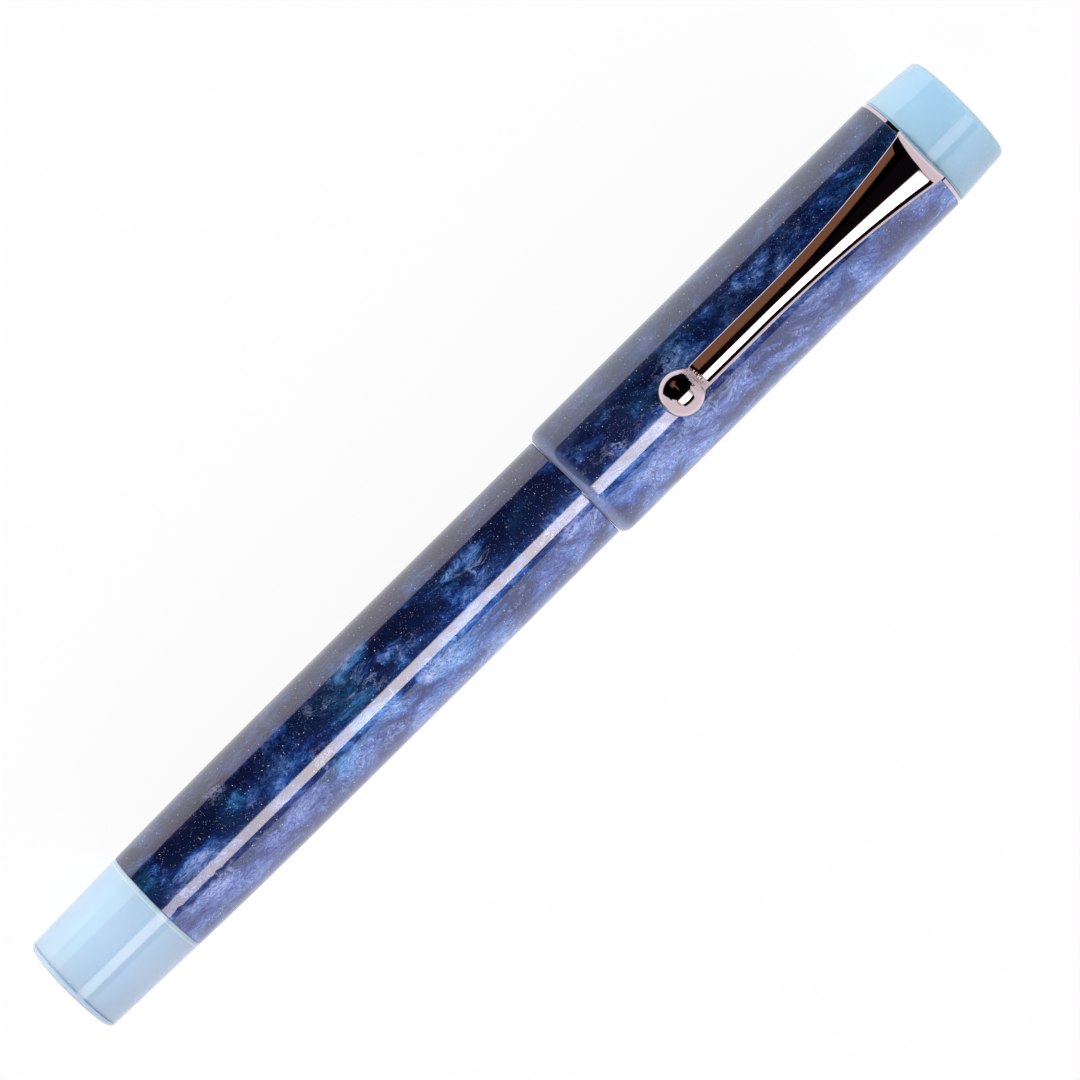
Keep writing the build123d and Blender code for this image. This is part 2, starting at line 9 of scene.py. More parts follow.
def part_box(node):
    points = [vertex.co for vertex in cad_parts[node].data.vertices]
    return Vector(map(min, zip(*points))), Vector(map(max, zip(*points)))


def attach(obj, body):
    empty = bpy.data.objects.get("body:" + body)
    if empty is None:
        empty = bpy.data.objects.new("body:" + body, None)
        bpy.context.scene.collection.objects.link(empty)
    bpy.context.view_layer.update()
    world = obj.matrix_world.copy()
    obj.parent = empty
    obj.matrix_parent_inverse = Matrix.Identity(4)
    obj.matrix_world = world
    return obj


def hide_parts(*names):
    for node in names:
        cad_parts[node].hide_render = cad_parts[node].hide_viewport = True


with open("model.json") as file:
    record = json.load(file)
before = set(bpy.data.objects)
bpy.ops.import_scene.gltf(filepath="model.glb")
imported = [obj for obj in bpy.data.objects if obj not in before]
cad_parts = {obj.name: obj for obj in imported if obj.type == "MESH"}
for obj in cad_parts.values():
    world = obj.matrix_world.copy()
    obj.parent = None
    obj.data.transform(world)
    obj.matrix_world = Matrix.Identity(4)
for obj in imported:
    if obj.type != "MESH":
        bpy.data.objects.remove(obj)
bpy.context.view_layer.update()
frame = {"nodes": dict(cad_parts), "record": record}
nodes = frame["nodes"]

MM = 0.001
CAP_LOW, CAP_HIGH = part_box("cap_tube")
AXIS_Z = (CAP_LOW.z + CAP_HIGH.z) / 2

# Camera, as the pen was photographed: high above it, rolled so that the pen runs corner to corner
CAMERA_DISTANCE = 0.670
CAMERA_TILT = math.radians(5.5)
CAMERA_ROLL = math.radians(44.75)
CAMERA_AIM_X = 2.46 * MM
CAMERA_AIM_SIDE = -1.39 * MM
SENSOR = 36.0
FRAME_WIDTH = 118.3 * MM

# Softbox: one long panel over the -Y side, in metres; near and far are measured across it from its middle
SOFTBOX_TILT = math.radians(21.5)
SOFTBOX_DISTANCE = 0.60
SOFTBOX_NEAR = -0.118
SOFTBOX_FAR = 0.116
SOFTBOX_HALF_LENGTH = 0.33
SOFTBOX_RADIANCE = 5.1
SOFTBOX_COLOUR = (1.0, 0.90, 0.86)
SOFTBOX_FADE = 0.19
SOFTBOX_EDGE = (0.004, -0.035)

# Room, by direction from the pen: pale walls round a dark ceiling, two small lamps, a lilac glow low down
HORIZON_SINE = math.sin(math.radians(11.0))
HORIZON_BLUR = 0.006
HORIZON_COLOUR = (0.90, 0.84, 0.98)
WALL_COLOUR = (0.86, 0.84, 0.86)
WALL_BLUR = 0.012
WALL_NEAREST = 0.5
LEFT_WALL = (0.62, 0.96)
RIGHT_WALL = (0.95, 1.57)
END_WALL = 1.02
WALL_LOW_FROM = 0.5
FACING_SIDE = (0.4, 0.8)
CEILING_COLOUR = (0.004, 0.003, 0.004)
LAMP_DIRECTIONS = ((-0.63, 1.06), (0.25, 0.91))
LAMP_RADIANCE = 2.5
LAMP_EDGE = (0.9990, 0.9997)

# Wood panel: its height above the pen in metres, and the rest in multiples of that height
WOOD_COLOUR = (0.22, 0.107, 0.058)
WOOD_HEIGHT = 0.6
WOOD_REACH = 0.9
WOOD_DEPTH = (0.1, 1.6)
WOOD_START = 0.15
WOOD_START_BLUR = (-0.02, 0.11)
WOOD_BALL_EDGE = (0.037, 0.027)
WOOD_BALL_SHIFT = 0.4
WOOD_ROOT_SLOPE = 11.0
WOOD_ROOT_FROM = 1.0
WOOD_ROOT_MOST = 0.6
WOOD_FAR_FADE = (1.6, 0.8)
WOOD_MIDDLE = 0.09
WOOD_SIDE_FADE = (0.36, 0.08)

# Soft lights that aren't seen in reflections, tilted from overhead towards -Y
LIGHT_DISTANCE = 0.5
LIGHT_SIZE = 0.35
SIDE_TILT = math.radians(52)
SIDE_IRRADIANCE = 3.15
FILL_TILT = math.radians(-48)
FILL_IRRADIANCE = 2.2
TOP_TILT = math.radians(-29)
TOP_IRRADIANCE = 3.5

# Table, glowing white
FLOOR_SIZE = 1.2
FLOOR_COLOUR = (0.2, 0.2, 0.2)
FLOOR_GLOW_COLOUR = (1, 0.996, 0.992)
FLOOR_GLOW = 0.93

# Clip's arm, in millimetres: tops are heights above the cap's top line, an arch is its edge's slope and power
CAP_AXIS = AXIS_Z / MM
CAP_R = CAP_HIGH.y / MM
CAP_TOP = CAP_AXIS + CAP_R
ARM_TIP_X = 26.7
ARM_END_LENGTH = 0.6
ARM_END_SPACING = 1.7
ARM_END_WIDTH = 0.6
ARM_END_THICKNESS = 0.4
ARM_END_FALL = 0.22
ARM_ROOT_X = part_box("clip_arm")[1].x / MM
ARM_TIP_TOP = 2.05
ARM_ROOT_TOP = 2.75
ARM_THICKNESS = 0.5
ARM_BEND = 1.95
ARM_EDGE = 0.15
BAR_ARCH = (math.radians(24.5), 1.05)
ROOT_ARCH = (math.radians(19.5), 1.6)
BAR_HALF = 1.565
ROOT_HALF = 3.505
FLARE_X = 37.0
FLARE_SLOPE = 0.17
FOOT_LIFT = 0.06

# Clip's ball and the neck behind it, in millimetres along from the ball's middle
BALL_LOW, BALL_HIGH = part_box("clip_ball")
BALL_X = (BALL_LOW.x + BALL_HIGH.x) / 2 / MM
BALL_Z = (BALL_LOW.z + BALL_HIGH.z) / 2 / MM
BALL_HALF_HEIGHT = (BALL_HIGH.z - BALL_LOW.z) / 2 / MM
BALL_R = 2.58
BALL_POLE_DEGREES = 3
BALL_SEGMENTS = 64
NECK_LEAVE, NECK_ARRIVE, NECK_END = 1.51, 2.62, 3.6
NECK_WIDTH, NECK_DEPTH, NECK_RISE = 1.42, 0.30, 0.02
NECK_NARROWS, NECK_THINS = 0.12, 0.16
NECK_SLOPES = (-0.12, -0.1)
BRAZE_FROM = (25.7, 26.4)
BRAZE_TO = (27.5, 27.0)

# Marbling: places in millimetres, noise scales per millimetre, warps as a scale and a reach in millimetres
PATCH_WARP = (0.25, 2.4)
PATCH_RIPPLE = (1.1, 0.7)
FLOW_STRETCH = (0.6, 1, 1)
FLOW_TURN = (0.3, 0.15, 0.5)
FLOW_WARP = (0.14, 4.5)
SWIRL_WARP = (0.5, 1.6)
CURL_WARP = (1.4, 0.85)
VEIN_WARP = (0.3, 3.0)
CLOUD_SCALE = 0.30
FIBRE_STRETCH = (0.5, 1.8, 1.8)
FIBRE_SCALE = 1.6
FIBRE_AMOUNT, FIBRE_MIDDLE = 0.44, 0.230
TEAL_SCALE = 0.16
VIOLET_SCALE = 0.09
WISP_SCALE = 0.7
WISP_REGION_SCALE = 0.35
VEIN_SCALE = 0.17
GRAIN_STRETCH = (0.7, 1.2, 1.2)
GRAIN_SCALE = 4.4
# Flecks: cells per millimetre, radius within a cell, share of cells left empty
FLECK_CELLS = (2.3, 0.15, 0.76)
DUST_CELLS = (5.2, 0.26, 0.62)
# How far a patch reaches, in radii and squared
PATCH_REACH = 1.6
# Painted light: a mask across y in millimetres, 0 on the +Y side and 1 on the softbox's -Y side, where the
# resin is lightened
PAINTED_LIGHT_SIDE = (3.5, -4.5)
# Painted shade: the resin darkened and made bluer towards the -Y edge, across y in millimetres, and the tint
# it is multiplied by
PAINTED_SHADE_SIDE = (-1.8, -4.8)
PAINTED_SHADE_TINT = (0.62, 0.70, 0.78)
# Painted rim light: a blue-violet colour laid along the +Y edge of the barrel and cap, across y in
# millimetres, and its colour for each
PAINTED_RIM_SIDE = (4.1, 5.3)
BARREL_PAINTED_RIM = (0.042, 0.036, 0.085)
CAP_PAINTED_RIM = (0.026, 0.046, 0.115)
# Painted reflection on the cap's rounded lip: where it fades in along x in millimetres, and its colour
CAP_LIP = (11.1, 9.9)
LIP_PAINTED_REFLECTION = (0.13, 0.17, 0.34)
DEPTH_COLOURS = (
    (0.38, (0.0008, 0.0022, 0.014)),
    (0.47, (0.003, 0.015, 0.078)),
    (0.54, (0.014, 0.058, 0.215)),
    (0.62, (0.075, 0.15, 0.365)),
    (0.76, (0.22, 0.28, 0.50)),
)
TEAL_COLOURS = (0.003, 0.028, 0.075), (0.045, 0.24, 0.47)
LILAC_COLOURS = (0.022, 0.026, 0.085), (0.165, 0.175, 0.35)
WISP_COLOUR = (0.36, 0.42, 0.66)
VEIN_COLOUR = (0.001, 0.003, 0.015)
GRAIN_LEVELS = (0.34, 0.12), (0.66, 2.3)
RESIN_BLACK = (0.003, 0.005, 0.020)
# Painted light: a pale haze added to the resin on the softbox's side
PAINTED_LIGHT_HAZE = (0.010, 0.018, 0.062)
DUST_COLOURS = (0.5, 0.45, 0.6), (0.4, 0.55, 1.0)
FLECK_COLOURS = (0.80, 0.56, 0.22), (0.8, 0.82, 0.9)

# Pale ends, with painted light along the knob's +Y side
KNOB_CLOUD = (0.35, (0.42, 0.59, 0.82)), (0.65, (0.46, 0.62, 0.84))
FINIAL_CLOUD = (0.35, (0.34, 0.55, 0.72)), (0.65, (0.375, 0.585, 0.755))
# Painted light: a paler band along the knob's +Y side, its colour and where it starts and ends across y in
# millimetres
KNOB_PAINTED_LIGHT = (0.55, 0.78, 0.98)
KNOB_PAINTED_LIGHT_FROM = (2.7, 3.05)
KNOB_PAINTED_LIGHT_TO = (6.0, 3.4)
# Lines around them, in millimetres: place, half width, colour, strength
PALE_LINES = (
    (-68.5, 0.10, (0.07, 0.12, 0.42), 0.9),
    (-55.58, 0.10, (0.62, 0.86, 1.0), 0.7),
    (61.6, 0.14, (0.12, 0.26, 0.52), 0.6),
)

# Metals and plastics
POLISH_GRAIN = (0.1, 2, 2)
TURNING_GRAIN = (8, 0.3, 0.3)
BRAZE_COLOUR = (0.45, 0.36, 0.36)


# Shader building


class Shader:
    """A node tree, with short calls that add nodes and return their outputs."""

    def __init__(self, owner):
        self.owner = owner
        owner.use_nodes = True
        self.tree = owner.node_tree
        self.tree.nodes.clear()

    def node(self, kind, settings=None, **inputs):
        """A new shader node; inputs go by name, or by number as i0, i1 and so on."""
        made = self.tree.nodes.new("ShaderNode" + kind)
        for key, value in (settings or {}).items():
            setattr(made, key, value)
        for key, value in inputs.items():
            self.feed(made.inputs[int(key[1:]) if key[0] == "i" and key[1:].isdigit() else key], value)
        return made

    def feed(self, socket, value):
        if isinstance(value, bpy.types.NodeSocket):
            self.tree.links.new(value, socket)
        elif socket.type == "RGBA" and len(value) == 3:
            socket.default_value = (*value, 1)
        else:
            socket.default_value = value

    def position(self, scale=(1, 1, 1), turn=(0, 0, 0), move=(0, 0, 0)):
        """The place on the object in millimetres, scaled, turned and moved."""
        place = self.node("TexCoord").outputs["Object"]
        factors = tuple(s / MM for s in scale)
        return self.node(
            "Mapping", {"vector_type": "POINT"}, Vector=place, Location=move, Rotation=turn, Scale=factors
        ).outputs[0]

    def noise(self, vector, scale, detail=4.0, roughness=0.5, distortion=0.0):
        made = self.node(
            "TexNoise", Vector=vector, Scale=scale, Detail=detail, Roughness=roughness, Distortion=distortion
        )
        return made.outputs

    def math(self, operation, a, b=0.0, c=0.0, clamp=False):
        return self.node("Math", {"operation": operation, "use_clamp": clamp}, i0=a, i1=b, i2=c).outputs[0]

    def ramp(self, value, *stops, ease="EASE"):
        made = self.node("ValToRGB", Fac=value)
        made.color_ramp.interpolation = ease
        elements = made.color_ramp.elements
        while len(elements) < len(stops):
            elements.new(1.0)
        for element, (place, colour) in zip(elements, stops):
            element.position = place
            element.color = (*colour, 1) if isinstance(colour, tuple) else (colour, colour, colour, 1)
        return made.outputs["Color"]

    def step(self, value, low, high):
        """0 below low, 1 above high, smooth between."""
        made = self.node("MapRange", {"interpolation_type": "SMOOTHSTEP"}, Value=value)
        made.inputs["From Min"].default_value = low
        made.inputs["From Max"].default_value = high
        return made.outputs["Result"]

    def mix(self, factor, a, b, blend="MIX"):
        made = self.node("Mix", {"data_type": "RGBA", "blend_type": blend})
        self.feed(made.inputs[0], factor)
        self.feed(made.inputs[6], a)
        self.feed(made.inputs[7], b)
        return made.outputs[2]

    def warp(self, vector, scale, amount):
        """The vector pushed about by a noise, amount in the vector's own units."""
        push = self.noise(vector, scale, detail=2.0)[1]
        centred = self.node("VectorMath", {"operation": "SUBTRACT"}, i0=push, i1=(0.5, 0.5, 0.5)).outputs[0]
        made = self.node("VectorMath", {"operation": "MULTIPLY_ADD"}, i0=centred, i1=(amount,) * 3, i2=vector)
        return made.outputs[0]

    def stretch(self, vector, factors):
        return self.node("VectorMath", {"operation": "MULTIPLY"}, i0=vector, i1=factors).outputs[0]

    def ridge(self, value, sharpness):
        """1 where a noise crosses its middle, 0 away from it: thin winding lines."""
        off = self.math("ABSOLUTE", self.math("SUBTRACT", value, 0.5))
        return self.step(self.math("MULTIPLY_ADD", off, -sharpness, 1.0), 0.0, 1.0)

    def flecks(self, vector, scale, radius, rarity):
        """A mask of small round spots in the few cells picked, and a random value for each."""
        cells = self.node("TexVoronoi", {"feature": "F1"}, Vector=vector, Scale=scale).outputs
        pick = self.node("SeparateColor", Color=cells["Color"]).outputs
        near = self.step(cells["Distance"], radius, radius * 0.6)
        chosen = self.math("GREATER_THAN", pick[0], rarity)
        return self.math("MULTIPLY", near, chosen), pick[1]

    def patches(self, vector, places):
        """The sum of soft round patches, each (x, y, x radius, y radius, amount) in the vector's units."""
        total = 0.0
        x, y, _ = self.node("SeparateXYZ", Vector=vector).outputs
        for centre_x, centre_y, radius_x, radius_y, amount in places:
            a = self.math("MULTIPLY_ADD", x, 1 / radius_x, -centre_x / radius_x)
            b = self.math("MULTIPLY_ADD", y, 1 / radius_y, -centre_y / radius_y)
            away = self.math("MULTIPLY_ADD", a, a, self.math("MULTIPLY", b, b))
            total = self.math("MULTIPLY_ADD", self.step(away, PATCH_REACH, 0.0), amount, total)
        return total

    def bump(self, height, strength, distance):
        return self.node("Bump", Height=height, Strength=strength, Distance=distance).outputs[0]

    def finish(self, **inputs):
        surface = self.node("BsdfPrincipled")
        for key, value in inputs.items():
            self.feed(surface.inputs[key.replace("_", " ")], value)
        output = self.node("OutputMaterial")
        self.tree.links.new(surface.outputs[0], output.inputs[0])
        return self.owner


def pearl_depth(s, swirl, curl, painted_light_side):
    """How near the surface the pearl lies: broad clouds and fine fibres, with painted light making it
    slightly paler towards the softbox.
    """
    cloud = s.noise(swirl, CLOUD_SCALE, detail=5.0, roughness=0.55)[0]
    fibre = s.noise(s.stretch(curl, FIBRE_STRETCH), FIBRE_SCALE, detail=5.0, roughness=0.72)[0]
    # Painted light: the pearl is brought nearer the surface, so paler, on the softbox's side
    depth = s.math("MULTIPLY_ADD", painted_light_side, 0.05, cloud)
    return s.math("ADD", depth, s.math("MULTIPLY_ADD", fibre, FIBRE_AMOUNT, -FIBRE_MIDDLE))


def tinted(s, base, depth, bent, painted_light_side, teal_patches):
    """Teal and violet regions laid over the blue, each dark where the resin is deep and pale elsewhere;
    violet spreads further on the softbox's side as painted light.
    """
    teal = s.math("MULTIPLY", s.step(s.noise(bent, TEAL_SCALE, detail=2.0)[0], 0.54, 0.64), 0.45)
    teal = s.math("MULTIPLY", s.math("ADD", teal, teal_patches, clamp=True), 0.8)
    base = s.mix(teal, base, s.mix(s.step(depth, 0.4, 0.7), *TEAL_COLOURS))
    violet = s.noise(bent, VIOLET_SCALE, detail=2.0)[0]
    # Painted light: violet spreads further on the softbox's side
    violet = s.step(s.math("MULTIPLY_ADD", painted_light_side, 0.2, violet), 0.58, 0.76)
    return s.mix(s.math("MULTIPLY", violet, 0.5), base, s.mix(s.step(depth, 0.42, 0.72), *LILAC_COLOURS))


def threaded(s, base, bent, curl, painted_light_side):
    """Pale wisps in some regions, and black veins that fade on the softbox's side as painted light."""
    where = s.step(s.noise(bent, WISP_REGION_SCALE, detail=1.0)[0], 0.55, 0.68)
    wisp = s.ridge(s.noise(curl, WISP_SCALE, detail=5.0, roughness=0.65)[0], 20.0)
    base = s.mix(s.math("MULTIPLY", s.math("MULTIPLY", wisp, where), 0.38), base, WISP_COLOUR)
    vein = s.ridge(s.noise(s.warp(bent, *VEIN_WARP), VEIN_SCALE, detail=5.0, roughness=0.55)[0], 11.0)
    # Painted light: the veins fade on the softbox's side
    vein = s.math("MULTIPLY", vein, s.math("MULTIPLY_ADD", painted_light_side, -0.6, 0.75))
    return s.mix(vein, base, VEIN_COLOUR)


def flecked(s, base, seed):
    """Fine dust and a few larger flecks of foil."""
    place = s.position(move=(seed, 0, 0))
    for cells, amount, colours in ((DUST_CELLS, 0.42, DUST_COLOURS), (FLECK_CELLS, 0.9, FLECK_COLOURS)):
        spot, shade = s.flecks(place, *cells)
        base = s.mix(s.math("MULTIPLY", spot, amount), base, s.mix(shade, *colours))
    return base


def marbled_resin(name, seed, depths=(), teals=(), lip=None, painted_rim=BARREL_PAINTED_RIM):
    """Deep navy resin with blue, teal and silver-lavender pearl swirls, black veins and fine metallic flecks,
    under painted light and shade: paler towards the softbox, darker at the -Y edge, a painted rim light along
    the +Y edge and a painted reflection on the cap's lip.

    depths and teals are soft patches of lighter, darker or greener resin: x, y, two radii, amount.
    """
    s = Shader(bpy.data.materials.new(name))
    real = s.position()
    bent_real = s.warp(s.warp(real, *PATCH_WARP), *PATCH_RIPPLE)
    across = s.node("SeparateXYZ", Vector=bent_real).outputs[1]
    # Mask of the softbox's side, used below for painted light
    painted_light_side = s.step(across, *PAINTED_LIGHT_SIDE)
    bent = s.warp(s.position(scale=FLOW_STRETCH, turn=FLOW_TURN, move=(seed, 0, 0)), *FLOW_WARP)
    swirl = s.warp(bent, *SWIRL_WARP)
    curl = s.warp(swirl, *CURL_WARP)

    depth = s.math("ADD", pearl_depth(s, swirl, curl, painted_light_side), s.patches(bent_real, depths))
    base = tinted(s, s.ramp(depth, *DEPTH_COLOURS), depth, bent, painted_light_side, s.patches(bent_real, teals))
    base = threaded(s, base, bent, curl, painted_light_side)
    grain = s.noise(s.stretch(curl, GRAIN_STRETCH), GRAIN_SCALE, detail=3.0, roughness=0.85)[0]
    base = s.mix(1.0, base, s.ramp(grain, *GRAIN_LEVELS, ease="LINEAR"), "MULTIPLY")
    base = s.mix(1.0, base, RESIN_BLACK, "ADD")
    # Painted light: pale haze on the softbox's side
    base = s.mix(painted_light_side, base, PAINTED_LIGHT_HAZE, "ADD")
    # Painted shade: darker and bluer towards the -Y edge
    base = s.mix(s.step(across, *PAINTED_SHADE_SIDE), base, PAINTED_SHADE_TINT, "MULTIPLY")
    # Painted rim light along the +Y edge
    base = s.mix(s.math("MULTIPLY", s.step(across, *PAINTED_RIM_SIDE), 0.7), base, painted_rim)
    if lip:
        # Painted reflection on the cap's rounded lip
        lip_painted_reflection = s.step(s.node("SeparateXYZ", Vector=real).outputs[0], *lip)
        base = s.mix(s.math("MULTIPLY", lip_painted_reflection, 0.65), base, LIP_PAINTED_REFLECTION)
    return s.finish(
        Base_Color=flecked(s, base, seed),
        Metallic=s.math("MULTIPLY_ADD", s.step(depth, 0.45, 0.65), 0.08, 0.02),
        Roughness=s.math("MULTIPLY_ADD", grain, 0.2, 0.42),
        Specular_IOR_Level=0.0,
        Sheen_Weight=0.08,
        Sheen_Roughness=0.4,
        Sheen_Tint=(0.9, 0.85, 1.0, 1.0),
        Coat_Weight=1.0,
        Coat_Roughness=0.02,
        Coat_IOR=2.0,
        Coat_Normal=s.bump(grain, 0.02, 0.00003),
    )


def pale_resin(name):
    """Pale blue resin, clouded and slightly translucent, highly polished; a touch more violet at the knob,
    with painted light along the knob's +Y side.
    """
    s = Shader(bpy.data.materials.new(name))
    place = s.position()
    cloud = s.noise(s.warp(place, 0.1, 4.0), 0.12, detail=4.0)[0]
    front = s.step(s.node("SeparateXYZ", Vector=place).outputs[0], -20.0, 20.0)
    knob = s.ramp(cloud, *KNOB_CLOUD)
    finial = s.ramp(cloud, *FINIAL_CLOUD)
    fine = s.noise(place, 3.0, detail=2.0)[0]
    along, across, _ = s.node("SeparateXYZ", Vector=place).outputs
    # Painted light: a paler band along the knob's +Y side
    knob_painted_light = s.math("MULTIPLY", s.step(across, *KNOB_PAINTED_LIGHT_FROM), s.step(across, *KNOB_PAINTED_LIGHT_TO))
    base = s.mix(front, s.mix(s.math("MULTIPLY", knob_painted_light, 0.45), knob, KNOB_PAINTED_LIGHT), finial)
    for at, half, colour, amount in PALE_LINES:
        off = s.math("ABSOLUTE", s.math("SUBTRACT", along, at))
        base = s.mix(s.math("MULTIPLY", s.step(off, half, half * 0.4), amount), base, colour)
    return s.finish(
        Base_Color=base,
        Roughness=s.math("MULTIPLY_ADD", fine, 0.06, 0.5),
        Specular_IOR_Level=0.0,
        Subsurface_Weight=0.5,
        Subsurface_Radius=(0.9, 1.4, 2.0),
        Subsurface_Scale=0.003,
        Coat_Weight=0.85,
        Coat_Roughness=0.04,
        Coat_IOR=1.8,
        Normal=s.bump(fine, 0.02, 0.00005),
    )


def polished_metal(name, colour, roughness):
    """Mirror-polished metal with faint polishing marks along the pen."""
    s = Shader(bpy.data.materials.new(name))
    streak = s.noise(s.position(scale=POLISH_GRAIN), 3.0, detail=4.0)[0]
    return s.finish(
        Base_Color=s.mix(streak, tuple(c * 0.96 for c in colour), colour),
        Metallic=1.0,
        Roughness=s.math("ADD", roughness, s.math("MULTIPLY", streak, roughness * 0.8)),
        Normal=s.bump(streak, 0.02, 0.00005),
    )


def chromed(name, colour):
    """Mirror chrome, rough and pitted where the ball is brazed to the arm."""
    s = Shader(bpy.data.materials.new(name))
    place = s.position()
    along = s.node("SeparateXYZ", Vector=place).outputs[0]
    joint = s.math("MULTIPLY", s.step(along, *BRAZE_FROM), s.step(along, *BRAZE_TO))
    pits = s.noise(place, 1.9, detail=3.0, roughness=0.6)[0]
    polish = s.noise(s.position(scale=POLISH_GRAIN), 3.0, detail=4.0)[0]
    return s.finish(
        Base_Color=s.mix(s.math("MULTIPLY", joint, pits), colour, BRAZE_COLOUR),
        Metallic=1.0,
        Roughness=s.math("MULTIPLY_ADD", joint, 0.16, s.math("MULTIPLY_ADD", polish, 0.02, 0.02)),
        Normal=s.bump(s.math("MULTIPLY", pits, joint), 0.7, 0.00035),
    )


def plain_plastic(name, colour, roughness):
    """Moulded or turned plastic with fine machining lines around the axis."""
    s = Shader(bpy.data.materials.new(name))
    lines = s.noise(s.position(scale=TURNING_GRAIN), 1.0, detail=3.0)[0]
    return s.finish(
        Base_Color=s.mix(lines, tuple(c * 0.85 for c in colour), colour),
        Roughness=s.math("ADD", roughness, s.math("MULTIPLY", lines, 0.15)),
        Normal=s.bump(lines, 0.1, 0.00005),
    )


# Patches of the marbling that stand out in the photo, in millimetres: x, y, two radii, amount
BARREL_DEPTHS = (
    (-48.6, 3.7, 3.0, 2.2, -0.14),
    (-44.7, 3.9, 6.0, 1.2, -0.10),
    (-36.0, 4.3, 9.0, 1.2, -0.10),
    (-28.9, 2.6, 5.0, 1.8, -0.16),
    (-15.2, 3.9, 4.0, 2.5, -0.12),
    (-42.5, -2.1, 8.0, 0.9, -0.10),
    (6.0, 3.4, 5.0, 1.5, -0.14),
    (4.5, 1.7, 4.0, 1.2, -0.10),
    (-17.4, 2.0, 1.8, 1.4, 0.22),
    (-34.9, 1.2, 5.0, 1.4, 0.10),
    (-13.0, 0.9, 3.0, 1.0, 0.10),
    (-4.2, 3.1, 2.0, 1.2, 0.12),
    (-7.5, 3.7, 1.1, 0.8, 0.16),
    (-5.3, 0.9, 2.5, 0.8, 0.12),
    (5.6, -2.2, 1.5, 0.8, 0.20),
    (-15.2, -2.4, 2.6, 1.2, 0.14),
    (-49.1, -2.9, 4.0, 0.7, 0.15),
    (-25.0, 1.0, 32.0, 1.4, -0.035),
    (2.0, 2.4, 7.0, 2.4, -0.05),
)
BARREL_TEALS = (
    (-24.1, 1.8, 2.8, 2.0, 1.0),
    (-41.4, 2.0, 2.4, 1.8, 0.6),
    (-30.0, -3.5, 2.6, 2.0, 0.8),
    (-54.8, 3.0, 1.6, 2.6, 1.0),
)
CAP_DEPTHS = (
    (23.7, 4.8, 1.8, 0.6, -0.30),
    (17.0, 5.0, 6.0, 0.4, -0.30),
    (17.1, 1.8, 1.6, 1.8, -0.20),
    (12.8, 1.2, 1.8, 0.8, -0.15),
    (22.6, 3.6, 4.0, 0.4, -0.20),
    (35.0, 4.8, 10.0, 0.4, -0.20),
    (58.2, 4.8, 8.0, 0.5, -0.16),
    (29.2, -2.5, 4.0, 0.8, -0.12),
    (35.2, -4.2, 3.0, 0.4, -0.16),
    (33.0, 3.4, 5.0, 1.0, 0.07),
    (22.0, -4.5, 6.0, 1.6, 0.06),
    (17.0, 0.9, 9.0, 1.3, -0.10),
    (40.0, -2.2, 22.0, 1.2, -0.03),
)
CAP_TEALS = (
    (19.9, 2.3, 2.2, 1.5, 0.9),
    (28.6, 4.5, 2.4, 1.0, 0.8),
    (55.0, 3.0, 4.0, 1.2, 0.5),
)

MATERIALS = {
    # The cap gets a painted reflection on its lip and its own painted rim light
    "cap_resin": marbled_resin("cap_marble", 31.0, CAP_DEPTHS, CAP_TEALS, lip=CAP_LIP, painted_rim=CAP_PAINTED_RIM),
    "barrel_resin": marbled_resin("barrel_marble", 0.0, BARREL_DEPTHS, BARREL_TEALS),
    "section_resin": marbled_resin("section_marble", 77.0),
    "pale_resin": pale_resin("pale_blue_resin"),
    "clip_chrome": chromed("clip_chrome", (0.72, 0.60, 0.63)),
    "brass": polished_metal("stud_brass", (0.75, 0.55, 0.28), 0.2),
    "liner_plastic": plain_plastic("liner_plastic", (0.03, 0.04, 0.07), 0.35),
    "silicone": plain_plastic("silicone", (0.5, 0.52, 0.55), 0.5),
    "black_plastic": plain_plastic("black_plastic", (0.012, 0.012, 0.014), 0.3),
    "nib_steel": polished_metal("nib_steel", (0.72, 0.72, 0.73), 0.1),
    "rod_steel": polished_metal("rod_steel", (0.62, 0.62, 0.63), 0.16),
    "rubber": plain_plastic("rubber", (0.02, 0.02, 0.022), 0.55),
}

for part in frame["record"]["subparts"]:
    node = nodes[part["node"]]
    node.data.materials.clear()
    node.data.materials.append(MATERIALS[part["material_slot"]])


def add(name, data):
    """A new object in the scene, holding the data."""
    made = bpy.data.objects.new(name, data)
    bpy.context.scene.collection.objects.link(made)
    return made


# Clip, as smooth meshes in place of the CAD's plain ones


def hermite(u, a, b, slope_a, slope_b):
    """From a to b as u runs from 0 to 1, leaving and arriving with the given slopes."""
    return (
        a * (2 * u**3 - 3 * u**2 + 1)
        + slope_a * (u**3 - 2 * u**2 + u)
        + b * (3 * u**2 - 2 * u**3)
        + slope_b * (u**3 - u**2)
    )


def arm_half_width(x):
    if x <= FLARE_X:
        return BAR_HALF
    length = ARM_ROOT_X - FLARE_X
    return hermite((x - FLARE_X) / length, BAR_HALF, ROOT_HALF, 0, length * FLARE_SLOPE)


def arm_top(x):
    along = (ARM_ROOT_X - x) / (ARM_ROOT_X - ARM_TIP_X)
    return CAP_TOP + ARM_ROOT_TOP + (ARM_TIP_TOP - ARM_ROOT_TOP) * along


